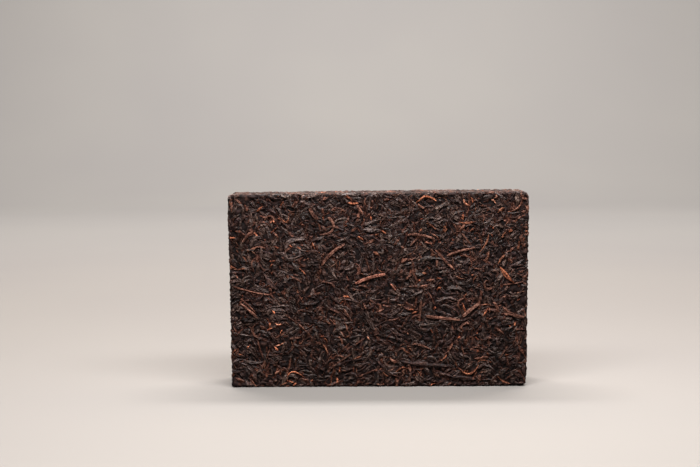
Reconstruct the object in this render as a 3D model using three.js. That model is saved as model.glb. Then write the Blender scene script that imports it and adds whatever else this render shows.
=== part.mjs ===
// A pressed brick of ripe pu erh tea, standing on one of its long narrow sides.
//
// Millimetres, +Z up. X runs along the width, Y through the thickness, Z up the height.
// The front broad face looks towards -Y. The origin is the middle of the flat underside.
//
// The brick is one solid: a block with softly broken edges and four upright corners that
// each wore to a radius of their own, whose faces carry the shallow dents that the mould
// leaves between bundles of leaf. Dents only go inwards, so the high spots of each face
// still lie in the plane of the mould.

import * as THREE from "three";

// Driving dimensions
const WIDTH = 140;
const THICKNESS = 23;
const HEIGHT = 91.5;

// The rounding where the broad faces meet the narrow sides
const EDGE_RADIUS = 1.5;

// The rounding of each corner of the outline, seen from the front
const CORNER_RADIUS = { bottomLeft: 1.6, bottomRight: 2.6, topRight: 3.2, topLeft: 2.2 };

// The top slopes down a little to the left, and both ends lean in at the foot
const TOP_SLOPE_DROP = 0.6;
const END_LEAN = 0.65;

// Dents: a broad swell and a finer one, and the height over which they fade in above the
// underside, which stays flat so that the brick stands firmly
const SWELLS = [
  { size: 15, depth: 0.35, seed: 11 },
  { size: 7, depth: 0.3, seed: 29 },
];
const DENT_FLOOR = 0.35;
const DENT_CEILING = 0.85;
const FLAT_FOOT = 4;

// Mesh lines: close together across the rounded edges, then evenly spaced
const ROUNDING_LINES = [0, 0.75, 1.6, 3.4];
const BROAD_SPACING = 4;
const NARROW_SPACING = 3.4;

const smoothstep = (low, high, value) => {
  const t = Math.min(Math.max((value - low) / (high - low), 0), 1);
  return t * t * (3 - 2 * t);
};

// A repeatable number from 0 to 1 for one point of a whole-number lattice
function latticeValue(x, y, z, seed) {
  let hash = seed;
  for (const n of [x, y, z]) {
    hash = Math.imul(hash ^ n, 0x9e3779b1);
    hash ^= hash >>> 15;
  }
  hash = Math.imul(hash, 0x85ebca6b);
  return ((hash ^ (hash >>> 13)) >>> 0) / 0xffffffff;
}

// Smooth noise from 0 to 1, with features of the given size
function swell(point, { size, seed }) {
  const cell = point.clone().divideScalar(size).floor();
  const inside = point.clone().divideScalar(size).sub(cell);
  const ease = (t) => smoothstep(0, 1, t);
  const corner = (dx, dy, dz) => latticeValue(cell.x + dx, cell.y + dy, cell.z + dz, seed);
  const alongX = (dy, dz) =>
    THREE.MathUtils.lerp(corner(0, dy, dz), corner(1, dy, dz), ease(inside.x));
  const alongY = (dz) => THREE.MathUtils.lerp(alongX(0, dz), alongX(1, dz), ease(inside.y));
  return THREE.MathUtils.lerp(alongY(0), alongY(1), ease(inside.z));
}

// Mesh lines along one side of the block, from 0 to its length
function meshLines(length, spacing, edgeLines) {
  const margin = edgeLines[edgeLines.length - 1];
  const count = Math.round((length - 2 * margin) / spacing);
  const middle = Array.from(
    { length: count - 1 },
    (_, i) => margin + ((i + 1) * (length - 2 * margin)) / count,
  );
  return [...edgeLines, ...middle, ...edgeLines.map((line) => length - line).reverse()];
}

// How much a point of the square [0, r] x [0, r] shrinks towards 0 to land in a quarter disc
function discPull(u, v) {
  const length = Math.hypot(u, v);
  return length > 0 ? Math.max(u, v) / length : 1;
}

// The rounded corner in whose quarter of the outline a point lies, and how far the point is
// past the corner's centre, sideways (u) and up or down (v)
function cornerOf(point) {
  const signX = point.x > 0 ? 1 : -1;
  const signZ = point.z > HEIGHT / 2 ? 1 : -1;
  const radius = CORNER_RADIUS[`${signZ > 0 ? "top" : "bottom"}${signX > 0 ? "Right" : "Left"}`];
  const u = signX * point.x - (WIDTH / 2 - radius);
  const v = signZ * (point.z - HEIGHT / 2) - (HEIGHT / 2 - radius);
  return { signX, signZ, radius, u, v };
}

// Rounds the corners of the outline, in the plane of X and Z
function roundOutline(point) {
  const { signX, signZ, u, v } = cornerOf(point);
  if (u <= 0 || v <= 0) return;
  const shift = discPull(u, v) - 1;
  point.x += signX * u * shift;
  point.z += signZ * v * shift;
}

// How deep a point lies inside the rounded outline, and the outline's outward normal there
function outlineDepth(point) {
  const { signX, signZ, radius, u, v } = cornerOf(point);
  if (u > 0 && v > 0) {
    const normal = new THREE.Vector3(signX * u, 0, signZ * v).normalize();
    return { depth: radius - Math.hypot(u, v), normal };
  }
  return u > v
    ? { depth: radius - u, normal: new THREE.Vector3(signX, 0, 0) }
    : { depth: radius - v, normal: new THREE.Vector3(0, 0, signZ) };
}

// Rounds the edges between the broad faces and the sides, and returns the surface normal
function roundEdge(point) {
  const { depth, normal } = outlineDepth(point);
  const signY = point.y > 0 ? 1 : -1;
  const faceDepth = THICKNESS / 2 - Math.abs(point.y);
  const u = EDGE_RADIUS - depth;
  const v = EDGE_RADIUS - faceDepth;
  const faceNormal = new THREE.Vector3(0, signY, 0);
  if (u <= 0 || v <= 0) return depth < faceDepth ? normal : faceNormal;
  const shift = discPull(u, v) - 1;
  point.addScaledVector(normal, u * shift);
  point.addScaledVector(faceNormal, v * shift);
  return normal.multiplyScalar(u).addScaledVector(faceNormal, v).normalize();
}

// Presses the dents in, and gives the top its slope and the two ends their lean
function pressSurface(point, normal) {
  const fade = smoothstep(0, FLAT_FOOT, point.z);
  const dent = SWELLS.reduce(
    (sum, layer) => sum + layer.depth * smoothstep(DENT_FLOOR, DENT_CEILING, swell(point, layer)),
    0,
  );
  point.addScaledVector(normal, -dent * fade);
  const leftness = THREE.MathUtils.clamp(0.5 - point.x / WIDTH, 0, 1);
  point.z -= (TOP_SLOPE_DROP * leftness ** 2 * point.z) / HEIGHT;
  const lowness = THREE.MathUtils.clamp(1 - point.z / HEIGHT, 0, 1);
  point.x -= (END_LEAN * lowness * point.x) / (WIDTH / 2);
}

// The closed skin of the block: a grid on each of its six sides, sharing their border points
function brickGeometry() {
  const lines = [
    meshLines(WIDTH, BROAD_SPACING, ROUNDING_LINES).map((x) => x - WIDTH / 2),
    meshLines(THICKNESS, NARROW_SPACING, ROUNDING_LINES.slice(0, -1)).map((y) => y - THICKNESS / 2),
    meshLines(HEIGHT, BROAD_SPACING, ROUNDING_LINES),
  ];
  const positions = [];
  const indexOf = new Map();

  const vertex = (grid) => {
    const key = grid.join();
    if (!indexOf.has(key)) {
      const point = new THREE.Vector3(...grid.map((line, axis) => lines[axis][line]));
      roundOutline(point);
      pressSurface(point, roundEdge(point));
      indexOf.set(key, positions.length / 3);
      positions.push(point.x, point.y, point.z);
    }
    return indexOf.get(key);
  };

  const triangles = [];
  for (const axis of [0, 1, 2]) {
    const [across, along] = [(axis + 1) % 3, (axis + 2) % 3];
    for (const far of [false, true]) {
      for (let i = 0; i < lines[across].length - 1; i += 1) {
        for (let j = 0; j < lines[along].length - 1; j += 1) {
          const at = (di, dj) => {
            const grid = [0, 0, 0];
            grid[axis] = far ? lines[axis].length - 1 : 0;
            grid[across] = i + di;
            grid[along] = j + dj;
            return vertex(grid);
          };
          const quad = [at(0, 0), at(1, 0), at(1, 1), at(0, 1)];
          if (!far) quad.reverse();
          triangles.push(quad[0], quad[1], quad[2], quad[0], quad[2], quad[3]);
        }
      }
    }
  }

  const geometry = new THREE.BufferGeometry();
  geometry.setAttribute("position", new THREE.Float32BufferAttribute(positions, 3));
  geometry.setIndex(triangles);
  geometry.computeVertexNormals();
  return geometry;
}

const pressedLeaf = new THREE.MeshStandardMaterial({
  color: 0x382823,
  roughness: 0.75,
  metalness: 0,
});

const brick = new THREE.Mesh(brickGeometry(), pressedLeaf);
brick.name = "tea_brick";

const part = new THREE.Group();
part.add(brick);

export default part;
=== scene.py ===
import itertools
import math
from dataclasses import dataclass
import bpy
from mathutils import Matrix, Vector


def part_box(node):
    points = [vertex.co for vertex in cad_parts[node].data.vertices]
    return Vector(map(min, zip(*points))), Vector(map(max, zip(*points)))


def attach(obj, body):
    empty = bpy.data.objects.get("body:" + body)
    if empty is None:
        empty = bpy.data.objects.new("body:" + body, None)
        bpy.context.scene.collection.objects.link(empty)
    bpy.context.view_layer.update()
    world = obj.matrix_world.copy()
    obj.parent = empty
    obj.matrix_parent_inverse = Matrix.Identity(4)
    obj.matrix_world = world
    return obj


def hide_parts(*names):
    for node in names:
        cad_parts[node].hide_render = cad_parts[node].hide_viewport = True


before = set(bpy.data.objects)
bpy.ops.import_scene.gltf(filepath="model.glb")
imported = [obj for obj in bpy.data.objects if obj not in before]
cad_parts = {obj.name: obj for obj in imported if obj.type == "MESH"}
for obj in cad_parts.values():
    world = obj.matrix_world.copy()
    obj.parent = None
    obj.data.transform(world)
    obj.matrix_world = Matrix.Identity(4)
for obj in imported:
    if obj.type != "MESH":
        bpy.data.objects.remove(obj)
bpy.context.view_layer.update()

# A pressed brick of ripe pu erh tea. Thousands of twisted leaves, flattened leaves, buds,
# stems and crumbs are laid on the block one after another, then pressed against the mould:
# each keeps its place in the pile, the topmost ones end up in the plane of the mould, and
# dark crevices stay between them. Lengths are in millimetres until a mesh is made.

from types import SimpleNamespace

import bpy
import numpy as np
from mathutils import Matrix, Vector

MM = 0.001
NODE = "tea_brick"
LOW, HIGH = (np.array(corner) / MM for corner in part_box(NODE))
CENTRE, HALF = (LOW + HIGH) / 2, (HIGH - LOW) / 2

# -------- camera

EYE = np.array([-7.7, -493.2, 117.3])  # from the middle of the underside
PITCH_DOWN, TURN_LEFT, ROLL = 5.3, 0.645, 0.42  # degrees
FOCAL_LENGTH, SENSOR_WIDTH = 53.6, 36.0
NEAREST_SEEN, FARTHEST_SEEN = 0.01, 50.0  # metres


def make_camera():
    data = bpy.data.cameras.new("camera")
    data.sensor_width, data.lens = SENSOR_WIDTH, FOCAL_LENGTH
    data.clip_start, data.clip_end = NEAREST_SEEN, FARTHEST_SEEN
    camera = bpy.data.objects.new("camera", data)
    bpy.context.scene.collection.objects.link(camera)
    foot = np.array([CENTRE[0], CENTRE[1], LOW[2]])
    turns = (
        Matrix.Rotation(math.radians(TURN_LEFT), 4, "Z")
        @ Matrix.Rotation(math.radians(90 - PITCH_DOWN), 4, "X")
        @ Matrix.Rotation(math.radians(-ROLL), 4, "Z")
    )
    camera.matrix_world = Matrix.Translation(Vector((foot + EYE) * MM)) @ turns
    bpy.context.scene.camera = camera


make_camera()

# -------- the mould's surface

EDGE_RADIUS = 1.5  # where the broad faces meet the narrow sides
CORNER_RADII = (1.6, 2.6, 2.2, 3.2)  # bottom left, bottom right, top left, top right
TOP_SLOPE_DROP = 0.6  # how much lower the top is at its left end
END_LEAN = 0.65  # how far each end leans in at its foot


def nearest_surface(points):
    """The nearest points on the rounded block, and its outward normals there."""
    local = points - CENTRE
    sign = np.where(local < 0, -1.0, 1.0)
    away = np.abs(local)
    quarter = (local[..., 0] > 0) + 2 * (local[..., 2] > 0)
    radius = np.array(CORNER_RADII)[quarter]
    u = away[..., 0] - (HALF[0] - radius)
    v = away[..., 2] - (HALF[2] - radius)
    in_corner = (u > 0) & (v > 0)
    length = np.maximum(np.hypot(u, v), 1e-9)
    sideways = np.where(in_corner, u / length, u > v)
    upward = np.where(in_corner, v / length, u <= v)
    out = np.where(in_corner, length, np.maximum(u, v)) - (radius - EDGE_RADIUS)
    rise = away[..., 1] - (HALF[1] - EDGE_RADIUS)
    on_edge = (out > 0) & (rise > 0)
    reach = np.maximum(np.hypot(out, rise), 1e-9)
    of_side = np.where(on_edge, out / reach, out > rise)
    of_face = np.where(on_edge, rise / reach, out <= rise)
    distance = np.where(on_edge, reach, np.maximum(out, rise)) - EDGE_RADIUS
    normals = sign * np.stack([sideways * of_side, of_face, upward * of_side], -1)
    return points - normals * distance[..., None], normals


WAVE_SPREAD = (0.7, 1.4)  # how much finer or coarser a wave can be than its size says


def waves(points, size, seed, count=7):
    """Smooth noise over space, about -2 to 2, with features of about this size."""
    rng = np.random.default_rng(seed)
    total = np.zeros(points.shape[:-1])
    for _ in range(count):
        direction = rng.normal(size=3)
        direction *= 2 * math.pi / size * rng.uniform(*WAVE_SPREAD) / np.linalg.norm(direction)
        total += np.sin(points @ direction + rng.uniform(0, 2 * math.pi))
    return total / math.sqrt(count / 2)


# -------- height maps of the pile

CELL = 0.25  # the size of a cell of a height map
SHAPES = [
    tuple(int(2 * HALF[(axis + step) % 3] / CELL) + 3 for step in (1, 2))
    for axis in (0, 0, 1, 1, 2, 2)
]
STARTS = np.cumsum([0] + [rows * columns for rows, columns in SHAPES])
COLUMNS = np.array([columns for _, columns in SHAPES])
ROWS = np.array([rows for rows, _ in SHAPES])


def cells_of(points, normals, axis=None):
    """The height-map cell under each point, on the face of this axis or the one it faces."""
    if axis is None:
        axis = np.abs(normals).argmax(-1)
    axis = np.broadcast_to(axis, points.shape[:-1])
    face = 2 * axis + (np.take_along_axis(normals, axis[..., None], -1)[..., 0] > 0)
    place = (points - LOW) / CELL + 1
    row = np.take_along_axis(place, ((axis + 1) % 3)[..., None], -1)[..., 0]
    column = np.take_along_axis(place, ((axis + 2) % 3)[..., None], -1)[..., 0]
    row = np.clip(row, 0, ROWS[face] - 1).astype(np.int32)
    column = np.clip(column, 0, COLUMNS[face] - 1).astype(np.int32)
    return (STARTS[face] + row * COLUMNS[face] + column).astype(np.int32)


def blurred(levels, radius, passes=3):
    """Height maps smoothed by box blurs of this radius, in millimetres."""
    reach = max(int(round(radius / CELL)), 1)
    result = []
    for shape, start, stop in zip(SHAPES, STARTS[:-1], STARTS[1:]):
        grid = levels[start:stop].reshape(shape)
        for _ in range(passes):
            for _ in range(2):
                padded = np.pad(grid, ((reach + 1, reach), (0, 0)), mode="edge")
                sums = np.cumsum(padded, 0)
                grid = ((sums[2 * reach + 1 :] - sums[: -2 * reach - 1]) / (2 * reach + 1)).T
        result.append(grid.ravel())
    return np.concatenate(result)


# -------- kinds of leaf


@dataclass
class Kind:
    """One kind of leaf: how many, how large, how bent and what its cross-section is."""

    name: str
    count: int
    length: tuple  # median, spread, shortest, longest
    width: tuple  # narrowest, widest
    thickness: float  # share of the width
    columns: tuple  # places across the top, from -1 to 1
    profile: tuple  # height at each place, as a share of the thickness
    groove: float = 0.0  # how much the ridges rise and sink along the leaf
    steps: int = 9  # cross-sections along the leaf
    bend: float = 0.06  # curvature, per millimetre
    hook: float = 0.1  # share of leaves that end in a hook
    curl: float = 0.0  # share of leaves that are curled all along
    tip: tuple = (0.15, 0.45)  # length of the tapering ends, as shares of the leaf
    ragged: float = 0.4  # unevenness of the two edges
    crumple: float = 0.25  # unevenness of the height
    tilt: float = 0.24  # how far leaves lean to one side, in radians
    dive: float = 0.8  # how deep an end can dip into the pile
    weave: float = 0.3  # how far a leaf rises over and dips under its neighbours
    blunt: float = 0.15  # width left at the very end
    lightest: float = 1.0  # tint of the lightest leaf
    seed: int = 1


BOXY = dict(columns=(-1, -0.42, 0.42, 1), profile=(0.1, 0.95, 0.95, 0.1))
ROLLED = dict(**BOXY, groove=0.5)
TWISTED = dict(**ROLLED, hook=0.3, curl=0.35)
BED = Kind("bed", 5200, (7.5, 0.4, 3, 15), (0.9, 2.2), 0.5, **ROLLED, seed=5)
KINDS = [
    Kind("dark_leaves", 2200, (7.6, 0.4, 2.5, 16), (0.8, 2.4), 0.3, **TWISTED, bend=0.09, seed=11),
    Kind("brown_leaves", 1450, (6.4, 0.4, 2, 14), (0.6, 2.0), 0.32, **TWISTED, bend=0.1, seed=12),
    Kind("grey_leaves", 1450, (7.6, 0.4, 2.5, 16), (0.8, 2.4), 0.3, **TWISTED, bend=0.09, seed=13),
    Kind("fine_leaves", 2300, (4.4, 0.4, 1.5, 11), (0.28, 0.7), 0.7, (-1, 0, 1),
         (0.1, 1, 0.1), groove=0.2, steps=8, bend=0.1, hook=0.35, curl=0.35, seed=14),
    Kind("flat_leaves", 780, (5.0, 0.35, 2.5, 10), (1.8, 3.8), 0.16,
         (-1, -0.7, -0.35, 0, 0.35, 0.7, 1), (0.2, 0.8, 0.7, 1, 0.7, 0.8, 0.2), groove=0.8,
         bend=0.03, hook=0.0, tip=(0.3, 0.5), crumple=0.6, seed=15),
    Kind("golden_buds", 400, (2.3, 0.5, 0.9, 7), (0.5, 1.3), 0.6, **BOXY, groove=0.2, steps=8,
         bend=0.12, hook=0.15, tip=(0.3, 0.6), lightest=0.7, seed=16),
    Kind("stems", 60, (7.0, 0.4, 3, 13), (0.7, 1.3), 0.62, (-1, -0.75, -0.25, 0.25, 0.75, 1),
         (0.15, 0.75, 1, 0.88, 0.8, 0.15), groove=0.08, bend=0.03, hook=0.0,
         tip=(0.03, 0.08), ragged=0.1, crumple=0.08, dive=0.4, weave=0.1, blunt=0.6,
         lightest=0.45, seed=17),
    Kind("crumbs", 1500, (1.2, 0.35, 0.6, 2.4), (0.45, 1.1), 0.6, (-1, 0, 1), (0.15, 1, 0.15),
         groove=0.2, steps=4, bend=0.1, hook=0.0, tip=(0.3, 0.5), blunt=0.35, lightest=0.7,
         seed=18),
]

DRIFT, DRIFT_SIZE, DRIFT_SEED = 1.5, 26, 3  # how neighbouring leaves turn the same way
HEADING_SPREAD = 0.65  # how far each leaf turns from its neighbours, in radians
WIDTH_ODDS = (1.6, 2.4)  # a beta distribution with more narrow leaves than wide ones
WAVER = 1.6  # how much a leaf's bend changes along it, against the bend it has all along
HOOK_START, HOOK_RISE, HOOK_TURN = 0.55, 4, 0.45  # where hooks start; how they then turn
CURL_TURN = (0.14, 0.4)  # curvature of the leaves that are curled all along
RATE_SPREAD = (0.6, 1.4)  # how fast the waves along a leaf are, against their usual rate
QUICK_RATE, QUICK_SHARE = 2.3, 0.35  # the finer one of the two waves along a leaf
TAPER_POWER, THINNING_POWER = 0.7, 0.6  # how the ends narrow, and how they thin
RIDGE_TWIST, RIDGE_STEP = 9, 2.3  # how the ridges wind along a leaf and across it
DIP_LENGTH, DIP_POWER = 0.35, 1.5  # share of a leaf that dips at each end, and how


def unit(vectors):
    return vectors / np.maximum(np.linalg.norm(vectors, axis=-1, keepdims=True), 1e-9)


def random_places(count, rng):
    """Points spread evenly over the block, and headings that loosely follow their neighbours."""
    areas = np.array([HALF[(axis + 1) % 3] * HALF[(axis + 2) % 3] for axis in range(3)])
    axis = rng.choice(3, count, p=areas / areas.sum())
    side = rng.choice([-1.0, 1.0], count)
    points = CENTRE + rng.uniform(-1, 1, (count, 3)) * HALF
    at = np.arange(count)
    points[at, axis] = CENTRE[axis] + side * HALF[axis]
    angle = DRIFT * waves(points, DRIFT_SIZE, DRIFT_SEED) + rng.normal(0, HEADING_SPREAD, count)
    headings = np.zeros((count, 3))
    headings[at, (axis + 1) % 3] = np.cos(angle)
    headings[at, (axis + 2) % 3] = np.sin(angle)
    return points, headings


def walk(points, headings, step, turns):
    """Centre lines over the surface: centres, normals and sideways directions, by section."""
    centres, normals, sides = [], [], []
    point, normal = nearest_surface(points)
    for turn in turns.T:
        headings = unit(headings - normal * (headings * normal).sum(-1, keepdims=True))
        side = np.cross(normal, headings)
        centres.append(point)
        normals.append(normal)
        sides.append(side)
        angle = (turn * step)[:, None]
        headings = headings * np.cos(angle) + side * np.sin(angle)
        point, normal = nearest_surface(point + headings * step[:, None])
    return np.stack(centres, 1), np.stack(normals, 1), np.stack(sides, 1)


def uneven(count, steps, rng, rate=1.6):
    """A smooth random line along each leaf, about -1 to 1."""
    t = np.linspace(0, 1, steps)
    phase = rng.uniform(0, 2 * math.pi, (count, 2, 1))
    speed = rng.uniform(*RATE_SPREAD, (count, 2, 1)) * np.array([[1.0], [QUICK_RATE]]) * rate
    return (np.sin(2 * math.pi * speed * t + phase) * [[1 - QUICK_SHARE], [QUICK_SHARE]]).sum(1)


def leaf_shapes(kind, count, rng, length, width, centres, normals, sides):
    """The cross-sections of leaves along given centre lines: surface points, rise and places."""
    t = np.linspace(0, 1, kind.steps)
    tips = rng.uniform(*kind.tip, (count, 2, 1))
    taper = np.clip(t / tips[:, 0], 0, 1) * np.clip((1 - t) / tips[:, 1], 0, 1)
    taper = taper**TAPER_POWER
    taper = kind.blunt + (1 - kind.blunt) * taper
    half = [
        width[:, None] / 2 * taper * (1 + kind.ragged * rng.uniform(-1, 1, taper.shape))
        for _ in range(2)
    ]
    columns = np.array(kind.columns, float)
    offset = np.where(columns < 0, half[0][..., None], half[1][..., None]) * columns
    spread = centres[:, :, None] + sides[:, :, None] * offset[..., None]
    surface, surface_normals = nearest_surface(spread)
    twist = rng.uniform(-1, 1, (count, 1, 1)) * RIDGE_TWIST * t[:, None]
    phase = rng.uniform(0, 2 * math.pi, (count, 1, 1)) + RIDGE_STEP * np.arange(len(columns))
    inner = np.abs(columns) < 1
    ridges = np.array(kind.profile) + kind.groove * np.sin(phase + twist) * inner
    ridges += kind.crumple * rng.uniform(-1, 1, ridges.shape) * inner
    thick = kind.thickness * width[:, None] * taper**THINNING_POWER
    lean = np.tan(rng.normal(0, kind.tilt, (count, 1, 1))) * offset
    dips = kind.dive * rng.uniform(0, 1, (count, 2, 1)) ** 2
    ends = np.clip(1 - np.stack([t, 1 - t]) / DIP_LENGTH, 0, 1) ** DIP_POWER
    sway = kind.weave * uneven(count, kind.steps, rng) - (dips * ends).sum(1)
    rise = ridges * thick[..., None] + lean + sway[..., None]
    return SimpleNamespace(
        surface=surface,
        normals=surface_normals,
        rise=rise,
        thick=thick,
        along=length[:, None] * t,
        across=offset,
        tint=rng.uniform(0, kind.lightest, count),
    )


def random_leaves(kind, count):
    """Many leaves of one kind, each on a centre line of its own."""
    rng = np.random.default_rng(kind.seed)
    points, headings = random_places(count, rng)
    median, spread, shortest, longest = kind.length
    length = np.clip(median * np.exp(rng.normal(0, spread, count)), shortest, longest)
    size = rng.beta(*WIDTH_ODDS, count)
    width = kind.width[0] + (kind.width[1] - kind.width[0]) * size
    t = np.linspace(0, 1, kind.steps)
    turns = kind.bend * (rng.normal(0, 1, (count, 1)) + WAVER * uneven(count, kind.steps, rng))
    hooked = rng.uniform(0, 1, (count, 1)) < kind.hook
    hook_rise = np.clip((t - HOOK_START) * HOOK_RISE, 0, 1)
    turns += hooked * rng.normal(0, HOOK_TURN, (count, 1)) * hook_rise
    curled = rng.uniform(0, 1, (count, 1)) < kind.curl
    turns += curled * rng.uniform(*CURL_TURN, (count, 1)) * rng.choice([-1, 1], (count, 1))
    lines = walk(points, headings, length / (kind.steps - 1), turns)
    return leaf_shapes(kind, count, rng, length, width, *lines)


# -------- leaves that stand out

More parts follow.
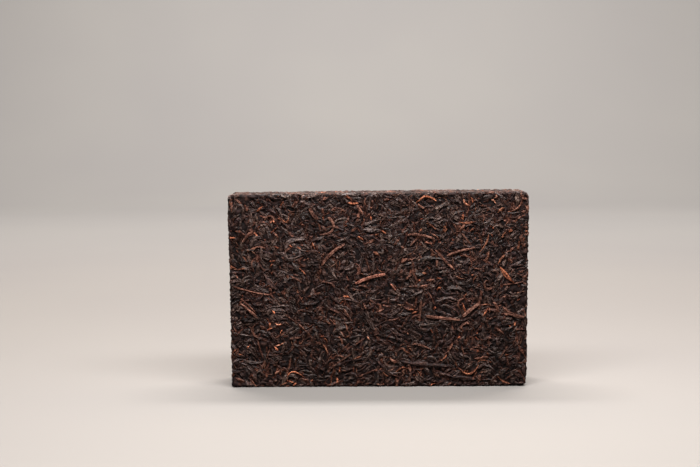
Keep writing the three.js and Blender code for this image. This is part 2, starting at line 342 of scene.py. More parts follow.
# Leaves that catch the eye on the front face, measured one by one. For each kind: the three
# points that the leaf's middle passes (sideways from the middle of the brick and up from its
# underside), the leaf's width and its tint, from dark (0) to light (1).
STANDING_OUT = {
    "dark_leaves": [
        ((10, 12.3), (20, 11.2), (33, 9.8), 2.4, 0.4),
        ((28, 7), (38, 4.4), (47, 3.4), 1.8, 0.4),
    ],
    "grey_leaves": [
        ((-36.6, 80.9), (-33.3, 84.7), (-28, 86.4), 1.1, 0.6),
        ((-24.2, 85.7), (-21.5, 87.6), (-18.5, 82.8), 0.9, 0.4),
        ((-33.3, 70.3), (-40.5, 69.5), (-43.5, 65), 2.8, 0.4),
        ((-43.3, 65), (-42, 60.8), (-34.5, 63.2), 2.2, 0.5),
        ((-49.5, 84.2), (-46.4, 84.6), (-44.5, 79.4), 1.3, 0.6),
        ((-60, 84.9), (-59.2, 80), (-60, 75), 1.5, 0.6),
        ((-63.5, 80), (-64.3, 76.5), (-62, 73.8), 1.0, 0.5),
        ((-4.1, 80.3), (-2.6, 83), (-1.3, 80.5), 0.8, 0.6),
        ((-4.6, 76.5), (-3, 74.8), (-1.3, 72.7), 1.2, 0.5),
        ((-35.2, 67.9), (-33, 66.2), (-30.9, 65), 1.0, 0.5),
        ((-54.6, 67.4), (-54.9, 64), (-54.8, 60.2), 1.6, 0.5),
        ((-51.3, 38.3), (-46, 38.9), (-40.6, 38.7), 1.3, 0.5),
        ((-68.8, 26.5), (-63.5, 24.9), (-58.4, 24.7), 1.0, 0.5),
        ((-65.2, 13.9), (-60.3, 11.8), (-54.4, 12.5), 1.6, 0.4),
        ((-35.2, 36.9), (-33.8, 39.5), (-32, 41.9), 0.7, 0.6),
        ((17, 58), (24, 61), (33, 59.5), 2.2, 0.0),
        ((26.1, 64.5), (28.2, 66.5), (29.3, 68.8), 1.8, 0.2),
        ((61, 56.9), (63.7, 53.7), (66.4, 50.4), 0.7, 0.5),
        ((52.4, 79.7), (53.3, 78.1), (54, 76.4), 0.8, 0.5),
        ((34.7, 87.8), (37.6, 87), (38.5, 83.5), 1.2, 0.3),
        ((18.5, 82.4), (20, 81.2), (21.2, 79.6), 1.6, 0.5),
        ((9.9, 76.9), (12.4, 79.2), (15.3, 80.7), 0.9, 0.5),
        ((14.8, 80.7), (16.5, 82.4), (17.5, 84.5), 0.8, 0.4),
        ((27.5, 39.2), (32.4, 42.2), (40.5, 38.7), 1.4, 0.4),
        ((31.5, 45.5), (36, 46.9), (41.4, 44.6), 2.0, 0.1),
        ((44.5, 48.6), (46, 46.6), (50.3, 45.7), 0.8, 0.5),
        ((52.6, 20.7), (55.7, 22.6), (59.3, 22.5), 1.0, 0.3),
        ((50.8, 19.8), (53.4, 16.2), (57.5, 17), 0.8, 0.5),
    ],
    "flat_leaves": [
        ((-6, 37), (-4.5, 32), (-2, 27), 3.0, 0.9),
        ((53.5, 75), (56.2, 75.3), (59, 74), 3.6, 0.6),
        ((-48.1, 61.8), (-47.4, 60), (-46.4, 58), 2.2, 1.0),
    ],
    "brown_leaves": [
        ((-11.8, 87.2), (-9.3, 85), (-6.3, 79.6), 1.5, 0.7),
        ((-44.1, 34.7), (-36, 28.3), (-31.1, 23.3), 1.2, 0.6),
        ((-34.7, 27.9), (-28.9, 31), (-26.2, 33.3), 0.8, 0.5),
        ((26.1, 30.1), (27.3, 26.5), (27.5, 22.9), 1.0, 0.3),
        ((-26.8, 77), (-25.3, 75.3), (-24, 74.2), 1.9, 0.4),
        ((67.8, 85.5), (68.8, 84), (68.6, 82), 1.2, 0.7),
    ],
    "golden_buds": [
        ((16.4, 85.3), (21.8, 89.4), (26.9, 87.5), 1.6, 0.3),
        ((59.7, 62.6), (57, 60), (56, 57.2), 1.2, 0.0),
        ((56.4, 57.2), (59.5, 53), (63.6, 48.7), 2.1, 0.3),
        ((37.2, 9.5), (42.5, 5.9), (47.3, 10.3), 1.1, 0.2),
        ((36.9, 13.9), (36.6, 10.4), (39.5, 7.5), 0.8, 0.1),
        ((46.6, 9.8), (48.4, 12.4), (54.3, 11), 0.8, 0.1),
        ((-43.9, 4.4), (-40.6, 7.3), (-35.4, 4.4), 1.0, 0.5),
        ((-43.9, 4.4), (-42.8, 2.8), (-40, 2.3), 0.7, 0.3),
        ((-56.7, 83.3), (-55, 84.8), (-53.4, 85.9), 1.3, 0.3),
        ((-50.6, 77.6), (-49, 78.8), (-47.8, 77.8), 1.3, 0.8),
        ((-9.9, 71.2), (-8.3, 70.5), (-7, 69.3), 1.4, 0.2),
        ((-16.8, 43), (-14.5, 42.9), (-12.3, 41.6), 1.0, 0.6),
        ((48.5, 32.4), (50.3, 35.1), (51.7, 37.4), 1.0, 0.4),
        ((49, 38.7), (51.3, 38.8), (53.5, 38), 0.9, 0.1),
        ((28.8, 12.1), (31, 13.6), (32.4, 15.7), 0.9, 0.5),
        ((56.2, 4.9), (58.4, 2.6), (62.4, 1.2), 1.0, 0.1),
        ((10.9, 18.9), (12.5, 17), (14.5, 15.7), 1.4, 0.0),
        ((14, 18.4), (15.3, 17.6), (16.3, 16.4), 0.7, 0.9),
        ((-50.2, 37.2), (-49.4, 36), (-49.2, 34.6), 1.3, 0.6),
        ((-49, 30.9), (-47.4, 29.8), (-45.6, 30.6), 1.0, 0.9),
        ((-52.8, 33), (-51.4, 30.5), (-51.8, 28), 0.9, 0.3),
        ((-53.5, 26.8), (-51.5, 28), (-48.8, 28.9), 0.6, 0.5),
        ((-49.7, 19.8), (-48.6, 18.6), (-48, 17.2), 1.3, 0.7),
        ((-48.8, 20), (-46.8, 20.4), (-44.4, 21.8), 0.8, 1.0),
        ((-62.6, 18.2), (-61.8, 19.5), (-60.6, 20.8), 0.9, 0.7),
        ((-66.5, 15.2), (-65.5, 15.8), (-64.4, 15.4), 0.8, 0.4),
        ((-26.9, 20.8), (-25.5, 18.9), (-23.9, 16), 1.0, 0.9),
        ((-26, 23.4), (-25, 22.6), (-24.4, 21), 1.2, 0.2),
        ((-5.4, 24.1), (-4.9, 23.4), (-4.4, 22.6), 1.1, 1.0),
        ((13.3, 25.9), (13.8, 25.3), (14.2, 24.6), 0.9, 1.0),
        ((-12.2, 13.2), (-10, 13.9), (-8, 15), 0.8, 0.2),
        ((-13.2, 27), (-12.3, 27.8), (-11.4, 28.3), 0.7, 0.4),
        ((13.4, 36), (15, 36.8), (16.7, 36.7), 0.8, 0.4),
        ((15.4, 34.4), (17, 35.3), (18.5, 35.6), 0.8, 0.4),
        ((7.8, 6.7), (11.3, 8.9), (14.5, 8), 0.8, 0.1),
        ((1.9, 7.1), (3.2, 5.4), (5, 4.9), 0.8, 0.1),
        ((18, 8), (19.2, 6.4), (19.9, 4.4), 0.9, 0.1),
        ((27, 45.5), (28.4, 46.5), (29.7, 47.3), 0.9, 0.4),
        ((64.8, 40.4), (65.6, 41), (66.6, 41.4), 0.8, 0.5),
        ((52.4, 87.8), (53.8, 87.2), (54.6, 85.7), 1.2, 1.0),
        ((39.5, 88.9), (40.4, 86.2), (43, 85.1), 1.0, 0.9),
        ((43, 89), (43.8, 87.5), (43.6, 86), 0.8, 0.3),
        ((47, 63.4), (50.3, 67.7), (51.3, 72.6), 1.0, 0.05),
        ((0.8, 74), (2.3, 73.3), (3.8, 72.4), 0.9, 0.4),
        ((22.3, 77.2), (24.6, 76), (26.9, 74.3), 0.9, 0.1),
        ((18.5, 73.1), (19.5, 73.8), (20.2, 74.8), 1.0, 0.4),
        ((30.6, 76), (31, 74.5), (31, 72.5), 1.7, 0.1),
        ((37.9, 77.5), (41.7, 77.1), (45.4, 78), 1.3, 0.1),
        ((42.7, 73.2), (44, 74.2), (45.4, 74.8), 1.1, 0.1),
        ((57.3, 70), (58.3, 71.5), (59, 73), 1.3, 0.0),
        ((60.8, 72.4), (61.5, 73.4), (62.4, 73.8), 1.4, 0.3),
        ((52.8, 71.9), (53, 71), (53.1, 70), 1.2, 0.4),
        ((65.6, 69), (65.2, 66.7), (65, 64.3), 1.4, 0.1),
        ((67.2, 70.5), (67.6, 69.4), (67.4, 68), 0.8, 0.3),
        ((55.4, 81.8), (57, 83.3), (58.9, 84.3), 1.3, 0.0),
        ((44.4, 48.8), (44.8, 50.8), (46, 52.6), 0.8, 0.1),
        ((28.3, 48.8), (29.4, 50.9), (27, 51.4), 0.8, 0.5),
        ((27.2, 46.1), (28.3, 46.8), (29.3, 47.2), 1.0, 0.4),
        ((20.5, 53.8), (21.4, 53.8), (22.5, 53.3), 1.0, 0.9),
        ((-1.3, 57.4), (0.6, 54.9), (3, 54.5), 0.9, 0.1),
        ((-2.4, 64.1), (-1, 63.2), (0.5, 62.2), 1.7, 0.0),
        ((-44.5, 79.4), (-42.2, 78.6), (-41.4, 83.2), 1.0, 0.1),
        ((-58.2, 74.2), (-57.2, 73), (-56.2, 72.2), 0.9, 0.8),
        ((-69.5, 71.3), (-68.2, 71.4), (-66.5, 71), 1.0, 0.5),
        ((-25.6, 80.7), (-25.6, 79.7), (-25.2, 78.8), 0.9, 0.3),
        ((-14.6, 87.4), (-11.5, 86.6), (-8, 87.5), 1.2, 0.4),
        ((-30.9, 69.3), (-30.4, 67.3), (-29.5, 65.3), 1.0, 0.2),
        ((-41.7, 67.8), (-40.9, 67.1), (-40.1, 66.6), 0.9, 0.6),
        ((-38.2, 66.6), (-37.1, 66.2), (-36.1, 65.5), 0.9, 0.4),
        ((-37.1, 56.8), (-35.7, 55.4), (-34.2, 53.7), 0.9, 0.5),
        ((-50.9, 56.8), (-50.3, 58), (-49.2, 59), 0.8, 0.5),
        ((-64.4, 63), (-62.4, 61.2), (-61, 58.7), 1.0, 0.0),
        ((-66.7, 55.8), (-64, 56.7), (-61.5, 56.8), 0.8, 0.0),
    ],
    "stems": [
        ((-10.8, 49.1), (-4, 51.9), (3.2, 53.4), 1.5, 0.8),
        ((32, 61.8), (37.4, 63.9), (44.9, 65.6), 1.2, 0.15),
        ((22.3, 33.5), (29.7, 32.6), (38.2, 31.7), 1.4, 0.2),
        ((-68.3, 48.3), (-58.9, 45.5), (-51.3, 44.3), 0.9, 0.3),
        ((-65, 40.1), (-61, 36.9), (-57.1, 33.3), 1.3, 0.2),
        ((-64.5, 42.1), (-61, 38.9), (-57.6, 35.1), 0.7, 0.3),
        ((-26.6, 57.7), (-22, 63.5), (-15.6, 67.9), 1.5, 0.15),
        ((13.7, 71.5), (18.5, 71.8), (26.1, 69.9), 1.3, 0.1),
        ((21.8, 68.3), (23.4, 67.9), (25, 67.3), 0.9, 0.5),
        ((39.6, 33.3), (43.2, 36.5), (47.2, 39.6), 1.6, 0.05),
        ((-23.3, 80.4), (-21, 77.5), (-21.3, 74.5), 1.3, 0.05),
        ((-21.1, 75), (-23, 73), (-27.1, 72.2), 1.1, 0.15),
        ((39, 72.1), (41, 69.6), (43.3, 66.7), 0.8, 0.05),
        ((5.5, 49.1), (6.9, 47.3), (8, 45.7), 0.9, 0.6),
        ((4.8, 42.8), (4.5, 41.2), (4.4, 39.6), 0.7, 0.2),
        ((53.9, 40), (55.4, 38), (56.2, 36), 1.2, 0.15),
        ((58.4, 37.6), (62.4, 34.2), (68.3, 32.8), 1.7, 0.1),
        ((66.2, 35.2), (68.1, 36), (68.6, 33), 0.7, 0.25),
        ((15.8, 19.3), (18, 20.2), (25.2, 17.5), 0.9, 0.05),
        ((-57.3, 22.9), (-56, 17.5), (-54.4, 13.7), 0.8, 0.25),
        ((-23.9, 7.1), (-21.7, 9.8), (-13.2, 15.7), 0.8, 0.0),
        ((60.6, 14.3), (60.6, 12.2), (61.5, 10.3), 0.8, 0.1),
        ((56.6, 13.4), (58.8, 16), (60.6, 19.3), 0.8, 0.0),
        ((27.5, 47.7), (28.3, 48.8), (29.3, 49.5), 0.8, 0.4),
        ((23, 45), (24.9, 42.3), (26.1, 39.2), 0.6, 0.05),
        ((14.8, 66.7), (16.4, 68.6), (18.3, 69.9), 0.8, 0.0),
        ((-52.9, 79.4), (-50, 81.3), (-48.1, 78.9), 0.9, 0.1),
        ((-63.4, 69.3), (-61.5, 71.5), (-59.8, 74), 1.2, 0.1),
        ((-31.9, 84.7), (-30.3, 82), (-28, 79.4), 1.9, 0.15),
        ((-40.9, 52.4), (-38.5, 51.5), (-36.2, 50), 1.0, 0.1),
    ],
}


def leaf_along(kind, controls, width, tint, on_back, rng):
    """One leaf on a smooth line through three points: on the front, or on the back, where the
    same leaves lie turned upside down, because the photo does not show that face."""
    start, middle, end = (np.array([x, z]) for x, z in controls)
    t = np.linspace(0, 1, kind.steps)[:, None]
    pull = 2 * middle - (start + end) / 2
    line = (1 - t) ** 2 * start + 2 * t * (1 - t) * pull + t**2 * end
    across, up, face = CENTRE[0] + line[:, 0], LOW[2] + line[:, 1], LOW[1]
    if on_back:
        across, up, face = 2 * CENTRE[0] - across, 2 * CENTRE[2] - up, HIGH[1]
    centres = np.stack([across, np.full(kind.steps, face), up], -1)
    centres, normals = nearest_surface(centres)
    sides = np.cross(normals, unit(np.gradient(centres, axis=0)))
    length = np.linalg.norm(np.diff(centres, axis=0), axis=-1).sum()
    path = (centres[None], normals[None], sides[None])
    shape = leaf_shapes(kind, 1, rng, np.array([length]), np.array([width]), *path)
    shape.tint[:] = tint
    return shape


# -------- piling

ALONG_FINER = 3  # footprint samples per section
SAMPLE_WIDTH, FEWEST_SAMPLES = 0.22, 4  # footprint samples across a leaf
OUTERMOST_SAMPLE = 0.92  # how near the edges they reach
BED_LEVEL_REACH = 1.5  # how far the bed is levelled before the loose leaves are laid
COVER_SHARE = 0.95  # how much of the pile lies under the leaves that stand out
TRIES = 5  # places tried for each leaf, of which the lowest-lying one is taken
ORDER_SEED, STANDING_OUT_SEED = 21, 22


def finer(values, kind):
    """Values at the footprint samples of each leaf: closer together than its sections."""
    steps = (kind.steps - 1) * ALONG_FINER + 1
    places = max(int(kind.width[1] / SAMPLE_WIDTH), FEWEST_SAMPLES)
    along = np.linspace(0, kind.steps - 1, steps)
    across = np.linspace(-OUTERMOST_SAMPLE, OUTERMOST_SAMPLE, places)
    along_share = np.maximum(0, 1 - np.abs(along[:, None] - np.arange(kind.steps)))
    hats = np.eye(len(kind.columns))
    across_share = np.stack([np.interp(across, kind.columns, hat) for hat in hats], 1)
    values = np.einsum("as,nsc...->nac...", along_share, values)
    return np.einsum("bc,nac...->nab...", across_share, values)


def footprints(kind, shapes):
    """The cells that each leaf covers, and how high it rises over its base there."""
    cells = cells_of(finer(shapes.surface, kind), finer(shapes.normals, kind))
    shapes.cells, shapes.cell_rise = cells, finer(shapes.rise, kind)
    return shapes


def base_of(heights):
    """Where a leaf comes to lie on these heights, along its middle: it bridges small gaps."""
    base = (heights.max(1) + heights.mean(1)) / 2
    reach = 2 * ALONG_FINER
    padded = np.pad(base, reach, mode="edge")
    kernel = np.hanning(2 * reach + 3)[1:-1]
    return np.convolve(padded, kernel / kernel.sum(), mode="valid")


class Pile:
    """The height of the pile in every cell, and the tint of the leaf on top there."""

    def __init__(self):
        self.height = np.zeros(STARTS[-1])
        self.tint = np.zeros(STARTS[-1])

    def lay(self, shapes, leaf):
        """Lays one leaf on the pile, and returns its base line and the heights at its edges."""
        cells = shapes.cells[leaf]
        before = self.height[cells]
        base = base_of(before)
        after = base[:, None] + shapes.cell_rise[leaf]
        self.tint[cells[after > before]] = shapes.tint[leaf]
        np.maximum.at(self.height, cells.ravel(), after.ravel())
        return base[::ALONG_FINER], before[::ALONG_FINER][:, [0, -1]]

    def lowest(self, shapes, leaves):
        """Which of these leaves would come to lie lowest."""
        levels = [self.height[shapes.cells[leaf]].mean() for leaf in leaves]
        return leaves[int(np.argmin(levels))]


def lay_standing_out(pile, placed):
    """Lays the leaves that stand out, first those of the front and then those of the back."""
    by_name = {kind.name: kind for kind in KINDS}
    rng = np.random.default_rng(STANDING_OUT_SEED)
    for on_back, name in itertools.product((False, True), STANDING_OUT):
        for *controls, width, tint in STANDING_OUT[name]:
            leaf = leaf_along(by_name[name], controls, width, tint, on_back, rng)
            shape = footprints(by_name[name], leaf)
            placed[name].append((shape, 0, *pile.lay(shape, 0)))


def pile_up():
    """Lays all the leaves. Returns the pile, its bed, and the placed leaves of each kind."""
    pile = Pile()
    bed = footprints(BED, random_leaves(BED, BED.count))
    for leaf in range(BED.count):
        pile.lay(bed, leaf)
    pile.height -= blurred(pile.height, BED_LEVEL_REACH)
    bed_height, bed_tint = pile.height.copy(), pile.tint.copy()

    shapes = {k.name: footprints(k, random_leaves(k, k.count * TRIES)) for k in KINDS}
    order = np.concatenate([np.full(kind.count, number) for number, kind in enumerate(KINDS)])
    np.random.default_rng(ORDER_SEED).shuffle(order)
    placed = {kind.name: [] for kind in KINDS}
    laid = {kind.name: 0 for kind in KINDS}
    for turn, number in enumerate(order):
        if turn == int(COVER_SHARE * len(order)):
            lay_standing_out(pile, placed)
        name = KINDS[number].name
        first = laid[name] * TRIES
        leaf = pile.lowest(shapes[name], range(first, first + TRIES))
        placed[name].append((shapes[name], leaf, *pile.lay(shapes[name], leaf)))
        laid[name] += 1
    return pile, bed_height, bed_tint, placed


# -------- pressing

RELIEF = 1.05  # how deep the crevices can get
SIDE_RELIEF = 0.3  # the same on the narrow sides, which the mould smoothed
PROUD = 0.22  # how far a leaf can stand out of the mould's plane
SIDE_SPRING = 0.15  # how far the narrow sides sprang back out of the mould's plane
LEVEL_REACH = 1.3  # how far the press evens out the pile
DENT, SIDE_DENT = 0.2, 0.08  # the broad unevenness of the faces and of the narrow sides
DENT_SIZE, DENT_SEED, DEEPEST_DENT = 15, 31, 2
TOP_SHARE = 0.92  # the share of the surface that lies under the mould's plane


class Press:
    """Presses the pile: maps a height over the block to a depth under the mould's plane."""

    def __init__(self, pile):
        level = blurred(pile.height, LEVEL_REACH)
        self.top = level + np.quantile(pile.height - level, TOP_SHARE)

    def top_at(self, points, normals):
        total = np.zeros(points.shape[:-1])
        for axis in range(3):
            total += self.top[cells_of(points, normals, axis)] * normals[..., axis] ** 2
        return total

    def __call__(self, points, normals, height):
        below = self.top_at(points, normals) - height
        on_face = normals[..., 1] ** 2
        relief = SIDE_RELIEF + (RELIEF - SIDE_RELIEF) * on_face
        deep = relief * (1 - np.exp(-np.maximum(below, 0) / relief))
        proud = PROUD * (1 - np.exp(np.minimum(below, 0) / PROUD))
        dent = SIDE_DENT + (DENT - SIDE_DENT) * on_face
        dent = dent * np.clip(waves(points, DENT_SIZE, DENT_SEED), 0, DEEPEST_DENT)
        spring = SIDE_SPRING * (1 - on_face)
        result = points - normals * (deep - proud + dent - spring)[..., None]
        right = (result[..., 0] - LOW[0]) / (2 * HALF[0])
        up = (result[..., 2] - LOW[2]) / (2 * HALF[2])
        result[..., 2] -= TOP_SLOPE_DROP * (1 - right) ** 2 * up
        result[..., 0] -= END_LEAN * (1 - up) * (2 * right - 1)
        result[..., 2] = np.maximum(result[..., 2], LOW[2])
        return result


# -------- meshes


def new_piece(name, points, faces, places, attributes, material, smooth=False):
    """One piece of the brick: a mesh with its numbers per vertex and its layout for baking."""
    mesh = bpy.data.meshes.new(name)
    mesh.from_pydata((points * MM).tolist(), [], faces)
    mesh.uv_layers.new(name="OFBake").uv.foreach_set("vector", places.astype(np.float32).ravel())
    for label, values in attributes.items():
        attribute = mesh.attributes.new(label, "FLOAT", "POINT")
        attribute.data.foreach_set("value", values.astype(np.float32).ravel())
    mesh.polygons.foreach_set("use_smooth", [smooth] * len(faces))
    mesh.materials.append(material)
    piece = bpy.data.objects.new(name, mesh)
    bpy.context.scene.collection.objects.link(piece)
    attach(piece, "root")
    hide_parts(NODE)
    return piece


EDGE_SAG = 0.3  # how far a leaf's edges can hang under its base
UNDER_SHARE, UNDER_DEPTH = 0.25, 0.15  # how far its underside lies under its lowest part


def leaf_vertices(kind, placed, press):
    """Positions and numbers of all the vertices of one kind: leaf, section, place round it."""
    def gathered(field):
        return np.stack([getattr(shapes, field)[leaf] for shapes, leaf, _, _ in placed])

    surface, normals, rise = gathered("surface"), gathered("normals"), gathered("rise")
    thick, along, across = gathered("thick"), gathered("along"), gathered("across")
    base = np.stack([base for _, _, base, _ in placed])
    edges = np.stack([edges for _, _, _, edges in placed])
    height = base[..., None] + rise
    lowest = base[..., None] - EDGE_SAG
    height[..., [0, -1]] = np.clip(edges, lowest, base[..., None]) + rise[..., [0, -1]]
    middle = surface.mean(2)
    under, under_normals = nearest_surface(middle)
    under_height = base + rise.min(2) - UNDER_SHARE * thick - UNDER_DEPTH
    surface = np.concatenate([surface, under[:, :, None]], 2)
    normals = np.concatenate([normals, under_normals[:, :, None]], 2)
    height = np.concatenate([height, under_height[..., None]], 2)
    shape = height.shape
    columns = np.array(kind.columns + (1,), float)
    numbers = {
        "along": np.broadcast_to(along[..., None], shape),
        "across": np.concatenate([across, np.zeros(shape[:2] + (1,))], 2),
        "place": np.broadcast_to(columns, shape),
        "tint": np.broadcast_to(gathered("tint")[:, None, None], shape),
        "depth": press.top_at(surface, normals) - height,
    }
    return press(surface, normals, height), numbers


# Each leaf has a cell of the bake layout: its sides in the middle, its end caps at the ends.
END_MARGIN, SIDE_MARGIN = 0.12, 0.06
CAP_GAP, CAP_BULGE = 0.02, 0.08
CELL_LENGTH = 3  # of a cell, against its height


def leaf_faces(count, steps, around):
    """The faces of closed leaves, and where each corner of each face lies on the bake layout."""
    section, place = np.meshgrid(np.arange(steps - 1), np.arange(around), indexing="ij")
    after = (place + 1) % around
    here, there = section * around, (section + 1) * around
    quads = np.stack([here + place, there + place, there + after, here + after], -1)
    quads = quads.reshape(-1, 4)
    start_cap = np.arange(around)
    end_cap = (steps - 1) * around + np.arange(around)[::-1]

    along = np.stack([section, section + 1, section + 1, section], -1) / (steps - 1)
    round_it = np.stack([place, place, place + 1, place + 1], -1) / around
    u = END_MARGIN + (1 - 2 * END_MARGIN) * along
    v = SIDE_MARGIN + (1 - 2 * SIDE_MARGIN) * round_it
    quad_places = np.stack([u, v], -1).reshape(-1, 2)
    ring = np.arange(around) / (around - 1)
    bulge = CAP_BULGE * np.sin(math.pi * ring)
    ring = SIDE_MARGIN + (1 - 2 * SIDE_MARGIN) * ring
    cap_places = np.stack([END_MARGIN - CAP_GAP - bulge, ring], -1)
    end_places = np.stack([1 - END_MARGIN + CAP_GAP + bulge, ring], -1)[::-1]
    one = np.concatenate([quad_places, cap_places, end_places])

    columns = max(round(math.sqrt(count / CELL_LENGTH)), 1)
    rows = math.ceil(count / columns)
    leaf = np.arange(count)
    corner = np.stack([leaf % columns, leaf // columns], -1)[:, None]
    places = (corner + one) / [columns, rows]

    faces = []
    one_leaf = quads.tolist() + [start_cap.tolist(), end_cap.tolist()]
    for first in (leaf * steps * around).tolist():
        faces += [[first + vertex for vertex in face] for face in one_leaf]
    return faces, places.reshape(-1, 2)


def make_leaves(kind, placed, press, material):
    points, numbers = leaf_vertices(kind, placed, press)
    count, steps, around = points.shape[:3]
    faces, places = leaf_faces(count, steps, around)
    return new_piece(kind.name, points.reshape(-1, 3), faces, places, numbers, material)


CORE_SPACING = 0.66  # between the vertices of the core
CORE_SINK = 0.12  # how far the core lies under the bed of leaves
SHEET_GAP = 1.0  # round each of the core's six sheets on its bake layout


def make_core(bed_height, bed_tint, press, material):
    """The body of the brick under the loose leaves: a closed block with the bed's relief."""
    lines = [
        np.linspace(LOW[axis], HIGH[axis], max(int(2 * HALF[axis] / CORE_SPACING), 2) + 1)
        for axis in range(3)
    ]
    sizes = [len(line) for line in lines]
    number = -np.ones(sizes, int)
    grid = np.stack(np.meshgrid(*[np.arange(size) for size in sizes], indexing="ij"), -1)
    outside = ((grid == 0) | (grid == np.array(sizes) - 1)).any(-1)
    corners = grid[outside]
    number[outside] = np.arange(len(corners))
    points = np.stack([lines[axis][corners[:, axis]] for axis in range(3)], -1)
    surface, normals = nearest_surface(points)

    faces, places = [], []
    shelf = 0.0
    widest = 2 * max(HALF[0], HALF[2]) + 2 * SHEET_GAP
    for axis in range(3):
        across, along = (axis + 1) % 3, (axis + 2) % 3
        for far in (0, 1):
            index = [slice(None)] * 3
            index[axis] = -far
            sheet = number[tuple(index)]
            if across > along:
                sheet = sheet.T
            first, second = np.meshgrid(
                lines[across] - LOW[across], lines[along] - LOW[along], indexing="ij"
            )
            long_way_first = sorted((first, second), key=np.max, reverse=True)
            flat = np.stack(long_way_first, -1)
            quads = np.stack([sheet[:-1, :-1], sheet[1:, :-1], sheet[1:, 1:], sheet[:-1, 1:]], -1)
            at = np.stack([flat[:-1, :-1], flat[1:, :-1], flat[1:, 1:], flat[:-1, 1:]], -2)
            at = at + [SHEET_GAP, shelf + SHEET_GAP]
            shelf += flat[..., 1].max() + 2 * SHEET_GAP
            if not far:
                quads, at = quads[..., ::-1], at[..., ::-1, :]
            faces += quads.reshape(-1, 4).tolist()
            places.append(at.reshape(-1, 2))
    places = np.concatenate(places) / [widest, shelf]

    cells = cells_of(surface, normals)
    height = blurred(bed_height, CELL, 1)[cells] - CORE_SINK
    numbers = {"tint": bed_tint[cells], "depth": press.top_at(surface, normals) - height}
    points = press(surface, normals, height)
    return new_piece("core", points, faces, places, numbers, material, smooth=True)


# -------- materials


def linear(red, green, blue):
    """A colour given by its sRGB bytes, as the shader's linear numbers."""
    share = np.array([red, green, blue]) / 255
    return (*np.where(share < 0.04045, share / 12.92, ((share + 0.055) / 1.055) ** 2.4), 1.0)


def grey(level):
    return (level, level, level, 1.0)


class Nodes:
    """Short ways to add nodes to a material."""

    def __init__(self, name):
        self.material = bpy.data.materials.new(name)
        self.material.use_nodes = True
        self.tree = self.material.node_tree
        self.shader = self.tree.nodes["Principled BSDF"]

    def add(self, kind, **settings):
        node = self.tree.nodes.new(kind)
        for key, value in settings.items():
            setattr(node, key, value)
        return node

    def link(self, source, target):
        self.tree.links.new(source, target)

    def number(self, name):
        return self.add("ShaderNodeAttribute", attribute_name=name).outputs["Fac"]

    def math(self, operation, first, second=0.0):
        node = self.add("ShaderNodeMath", operation=operation)
        for socket, value in zip(node.inputs, (first, second)):
            if isinstance(value, (int, float)):
                socket.default_value = value
            else:
                self.link(value, socket)
        return node.outputs[0]

    def noise(self, vector, scale=1.0, detail=2.0):
        node = self.add("ShaderNodeTexNoise")
        node.inputs["Scale"].default_value = scale
        node.inputs["Detail"].default_value = detail
        self.link(vector, node.inputs["Vector"])
        return node.outputs["Fac"]

    def ramp(self, value, stops):
        node = self.add("ShaderNodeValToRGB")
        elements = node.color_ramp.elements
        while len(elements) < len(stops):
            elements.new(0.5)
        for element, (position, colour) in zip(elements, stops):
            element.position, element.color = position, colour
        self.link(value, node.inputs["Fac"])
        return node.outputs["Color"]

    def blend(self, mode, share, first, second):
        node = self.add("ShaderNodeMix", data_type="RGBA", blend_type=mode)
        sockets = node.inputs[0], node.inputs[6], node.inputs[7]  # those of the colour mode
        for socket, value in zip(sockets, (share, first, second)):
            if isinstance(value, (int, float, tuple)):
                socket.default_value = value
            else:
                self.link(value, socket)
        return node.outputs[2]

    def bump(self, height, distance):
        """Roughens the surface by this much, in millimetres."""
        node = self.add("ShaderNodeBump")
        node.inputs["Strength"].default_value = 1.0
        node.inputs["Distance"].default_value = distance * MM
        self.link(height, node.inputs["Height"])
        self.link(node.outputs[0], self.shader.inputs["Normal"])


# Ramps from a number to a colour, or to what a colour is multiplied or mixed by.
WHITE = grey(1.0)
PATCHES = [(0.42, grey(0.0)), (0.66, WHITE)]
STREAKS = [(0.38, (0.14, 0.085, 0.065, 1)), (0.5, (0.57, 0.52, 0.5, 1)), (0.62, WHITE)]
# Across each leaf: painted shade in the middle groove and at the edges, together with the edges' own
# darker tone.
EDGE_TONE_AND_SHADE = [(0.0, (0.7, 0.68, 0.66, 1)), (0.4, WHITE), (0.65, grey(0.95)), (1.0, (0.5, 0.46, 0.44, 1))]
# Painted crevice shade: the deeper under the mould's plane, the darker and redder.
CREVICE_SHADE = [(0.1, WHITE), (0.36, (0.5, 0.38, 0.34, 1)), (0.68, (0.1, 0.03, 0.02, 1))]
TONES = [(0.35, (0.5, 0.48, 0.47, 1)), (0.62, WHITE)]
SPOTS = [(0.4, (0.2, 0.11, 0.08, 1)), (0.5, (0.82, 0.79, 0.78, 1)), (0.6, WHITE)]
GRAINS = [(0.3, (0.35, 0.33, 0.32, 1)), (0.65, WHITE)]
# The core's tints, darker than those of the loose leaves to paint shade into the crevices.
CORE_TINTS = [
    (0.0, linear(20, 11, 10)), (0.55, linear(32, 19, 17)),
    (0.85, linear(50, 31, 25)), (1.0, linear(70, 42, 32)),
]
DEPTH_SCALE = 0.5  # from millimetres under the mould's plane to a place on the painted crevice shade ramp

# How many features there are in a millimetre, along a leaf and across it.
STREAK_SCALES, PATCH_SCALES = (0.22, 2.6), (0.6, 0.5)
LEAF_OFFSET = 431.0  # between the patterns of the darkest leaf and of the lightest
# How many features there are in a metre.
SPOT_SCALE, TONE_SCALE, GRAIN_SCALE, FIBRE_SCALE = 1400.0, 95.0, 900.0, 300.0
# How strongly the patches of the streak colour, the streaks, the darker edges with their painted shade
# and the painted crevice shade show.
PATCH_SHARE, STREAK_SHARE, EDGE_TONE_AND_SHADE_SHARE, CREVICE_SHADE_SHARE = 0.55, 0.9, 0.85, 0.95


def along_and_across(nodes, scales):
    """Coordinates that run along and across each leaf, different on each."""
    place = nodes.add("ShaderNodeCombineXYZ")
    numbers = zip(("along", "across", "tint"), (*scales, LEAF_OFFSET))
    for socket, (name, scale) in zip(place.inputs, numbers):
        nodes.link(nodes.math("MULTIPLY", nodes.number(name), scale), socket)
    return place.outputs[0]


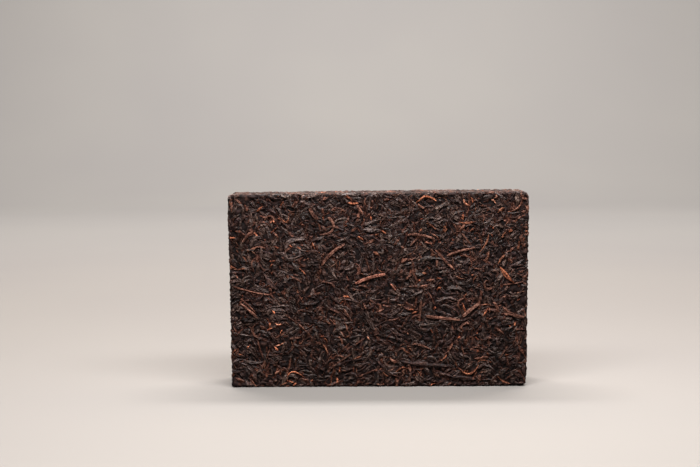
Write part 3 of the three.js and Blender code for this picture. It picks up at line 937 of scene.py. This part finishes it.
def painted_crevice_shade(nodes, colour, share):
    """Painted crevice shade: the colour, darker and redder the deeper it lies in a crevice."""
    depth = nodes.math("MULTIPLY", nodes.number("depth"), DEPTH_SCALE)
    return nodes.blend("MULTIPLY", share, colour, nodes.ramp(depth, CREVICE_SHADE))


def leaf_material(name, tints, streak, roughness, bump_height, gloss=0.08):
    """Dried leaf: a tint for each leaf, streaks along it, edges darker by their own tone and by painted
    shade, and painted shade in the deeper parts.
    """
    nodes = Nodes(name)
    place = nodes.add("ShaderNodeTexCoord").outputs["Object"]
    tint_stops = [(i / (len(tints) - 1), tint) for i, tint in enumerate(tints)]
    colour = nodes.ramp(nodes.number("tint"), tint_stops)
    patches = nodes.noise(along_and_across(nodes, PATCH_SCALES), detail=1.0)
    patch_share = nodes.math("MULTIPLY", nodes.ramp(patches, PATCHES), PATCH_SHARE)
    colour = nodes.blend("MIX", patch_share, colour, streak)
    streaks = nodes.noise(along_and_across(nodes, STREAK_SCALES), detail=3.0)
    colour = nodes.blend("MULTIPLY", STREAK_SHARE, colour, nodes.ramp(streaks, STREAKS))
    from_middle = nodes.math("ABSOLUTE", nodes.number("place"))
    # Painted shade in the groove and at the edges, with the edges' own darker tone.
    colour = nodes.blend("MULTIPLY", EDGE_TONE_AND_SHADE_SHARE, colour, nodes.ramp(from_middle, EDGE_TONE_AND_SHADE))
    # Painted shade in the crevices, by depth.
    colour = painted_crevice_shade(nodes, colour, CREVICE_SHADE_SHARE)
    tones = nodes.noise(place, TONE_SCALE, detail=1.0)
    colour = nodes.blend("MULTIPLY", 1.0, colour, nodes.ramp(tones, TONES))
    spots = nodes.noise(place, SPOT_SCALE, detail=3.0)
    colour = nodes.blend("MULTIPLY", 1.0, colour, nodes.ramp(spots, SPOTS))
    nodes.link(colour, nodes.shader.inputs["Base Color"])
    smoothest, roughest = roughness
    rough = nodes.ramp(streaks, [(0.3, grey(roughest)), (0.7, grey(smoothest))])
    nodes.link(rough, nodes.shader.inputs["Roughness"])
    nodes.shader.inputs["Specular IOR Level"].default_value = gloss
    nodes.bump(nodes.math("ADD", streaks, spots), bump_height)
    return nodes.material


def core_material():
    """The leaves deep in the crevices: dark, crumbly and nearly without gloss, with painted shade:
    tints darker than the loose leaves' and darker still with depth.
    """
    nodes = Nodes("core_leaf")
    place = nodes.add("ShaderNodeTexCoord").outputs["Object"]
    grains = nodes.noise(place, GRAIN_SCALE, detail=4.0)
    fibres = nodes.noise(place, FIBRE_SCALE)
    colour = nodes.ramp(nodes.number("tint"), CORE_TINTS)
    colour = nodes.blend("MULTIPLY", 0.9, colour, nodes.ramp(grains, GRAINS))
    colour = painted_crevice_shade(nodes, colour, 0.9)
    nodes.link(colour, nodes.shader.inputs["Base Color"])
    nodes.shader.inputs["Roughness"].default_value = 0.8
    nodes.shader.inputs["Specular IOR Level"].default_value = 0.1
    nodes.bump(nodes.math("ADD", grains, fibres), 0.35)
    return nodes.material


# For each piece: the name of a slot, which nothing here gives to the piece, and the look of its leaves.
LOOKS = {
    "dark_leaves": ("dark_leaf", dict(
        tints=[linear(41, 29, 28), linear(59, 42, 42), linear(75, 59, 54), linear(53, 38, 40)],
        streak=linear(102, 74, 61), roughness=(0.32, 0.55), bump_height=0.4)),
    "brown_leaves": ("brown_leaf", dict(
        tints=[linear(74, 48, 42), linear(96, 67, 57), linear(125, 88, 73), linear(87, 60, 52)],
        streak=linear(153, 104, 84), roughness=(0.36, 0.58), bump_height=0.4)),
    # Grey leaves: their greyish tints partly paint the grey sheen of glossy leaves, besides their real
    # gloss.
    "grey_leaves": ("dark_leaf", dict(
        tints=[linear(69, 59, 57), linear(95, 81, 80), linear(91, 74, 67), linear(63, 54, 52)],
        streak=linear(113, 92, 79), roughness=(0.3, 0.5), bump_height=0.4, gloss=0.15)),
    "fine_leaves": ("brown_leaf", dict(
        tints=[linear(57, 41, 39), linear(90, 67, 58), linear(133, 99, 80), linear(69, 54, 52)],
        streak=linear(145, 103, 82), roughness=(0.35, 0.55), bump_height=0.3)),
    "flat_leaves": ("flat_leaf", dict(
        tints=[linear(47, 35, 37), linear(71, 59, 58), linear(82, 66, 59), linear(105, 93, 90)],
        streak=linear(105, 83, 72), roughness=(0.32, 0.52), bump_height=0.5)),
    "golden_buds": ("golden_bud", dict(
        tints=[linear(140, 94, 72), linear(188, 119, 86), linear(206, 128, 94), linear(228, 168, 138)],
        streak=linear(120, 75, 56), roughness=(0.5, 0.7), bump_height=0.35)),
    "stems": ("stem", dict(
        tints=[linear(122, 89, 76), linear(150, 105, 88), linear(190, 128, 108), linear(226, 159, 138)],
        streak=linear(112, 75, 62), roughness=(0.5, 0.68), bump_height=0.4)),
    "crumbs": ("brown_leaf", dict(
        tints=[linear(50, 32, 29), linear(88, 57, 48), linear(146, 94, 72), linear(196, 132, 100)],
        streak=linear(104, 67, 54), roughness=(0.45, 0.65), bump_height=0.4)),
}

# -------- the stage


def make_floor():
    """A pale floor that curves up into a backdrop behind the brick."""
    size, back, curve, wall = 3.0, 1.2, 0.6, 2.2  # metres
    turns = np.linspace(0, math.pi / 2, 13)
    bend = [(back + curve * math.sin(turn), curve * (1 - math.cos(turn))) for turn in turns]
    profile = [(-size, 0.0)] + bend + [(back + curve, wall)]
    points = [(x, y, z) for x in (-size, size) for y, z in profile]
    count = len(profile)
    faces = [(i + count, i + 1 + count, i + 1, i) for i in range(count - 1)]
    mesh = bpy.data.meshes.new("floor")
    mesh.from_pydata(points, [], faces)
    mesh.shade_smooth()
    nodes = Nodes("floor")
    place = nodes.add("ShaderNodeTexCoord").outputs["Object"]
    tone = nodes.ramp(nodes.noise(place, 3.0), [(0.3, linear(93, 89, 86)), (0.7, linear(96, 92, 88))])
    nodes.link(tone, nodes.shader.inputs["Base Color"])
    nodes.shader.inputs["Roughness"].default_value = 0.85
    mesh.materials.append(nodes.material)
    floor = bpy.data.objects.new("floor", mesh)
    bpy.context.scene.collection.objects.link(floor)


def make_light(name, place, size, power, colour=(1, 1, 1), aim=(0, 0, 0.045)):
    """A soft light panel, in metres and watts, which faces the point it is aimed at."""
    data = bpy.data.lights.new(name, "AREA")
    data.shape, data.size, data.size_y = "RECTANGLE", *size
    data.energy, data.color = power, colour
    light = bpy.data.objects.new(name, data)
    light.location = place
    direction = Vector(aim) - light.location
    light.rotation_euler = direction.to_track_quat("-Z", "Y").to_euler()
    bpy.context.scene.collection.objects.link(light)


def make_lights():
    make_light("key", (0.02, -0.15, 0.34), (0.45, 0.08), 5.9)
    make_light("back", (0.05, 0.3, 0.6), (1.2, 0.2), 4.0, (1.0, 0.74, 0.54))
    make_light("backdrop", (0.0, 0.5, 1.6), (1.6, 0.4), 150.0, aim=(0.0, 1.7, 0.3))
    make_light("far_floor", (0.0, -1.0, 1.2), (1.6, 0.4), 110.0, aim=(0.0, -2.6, 0.0))
    world = bpy.data.worlds.new("world")
    world.use_nodes = True
    sky = world.node_tree.nodes["Background"].inputs
    sky["Color"].default_value = (0.8, 0.82, 0.85, 1)
    sky["Strength"].default_value = 0.05
    bpy.context.scene.world = world
    bpy.context.scene.view_settings.view_transform = "Standard"


# -------- the brick

pile, bed_height, bed_tint, placed = pile_up()
press = Press(pile)
make_core(bed_height, bed_tint, press, core_material())
for kind in KINDS:
    slot, look = LOOKS[kind.name]
    make_leaves(kind, placed[kind.name], press, leaf_material(kind.name, **look))
make_floor()
make_lights()
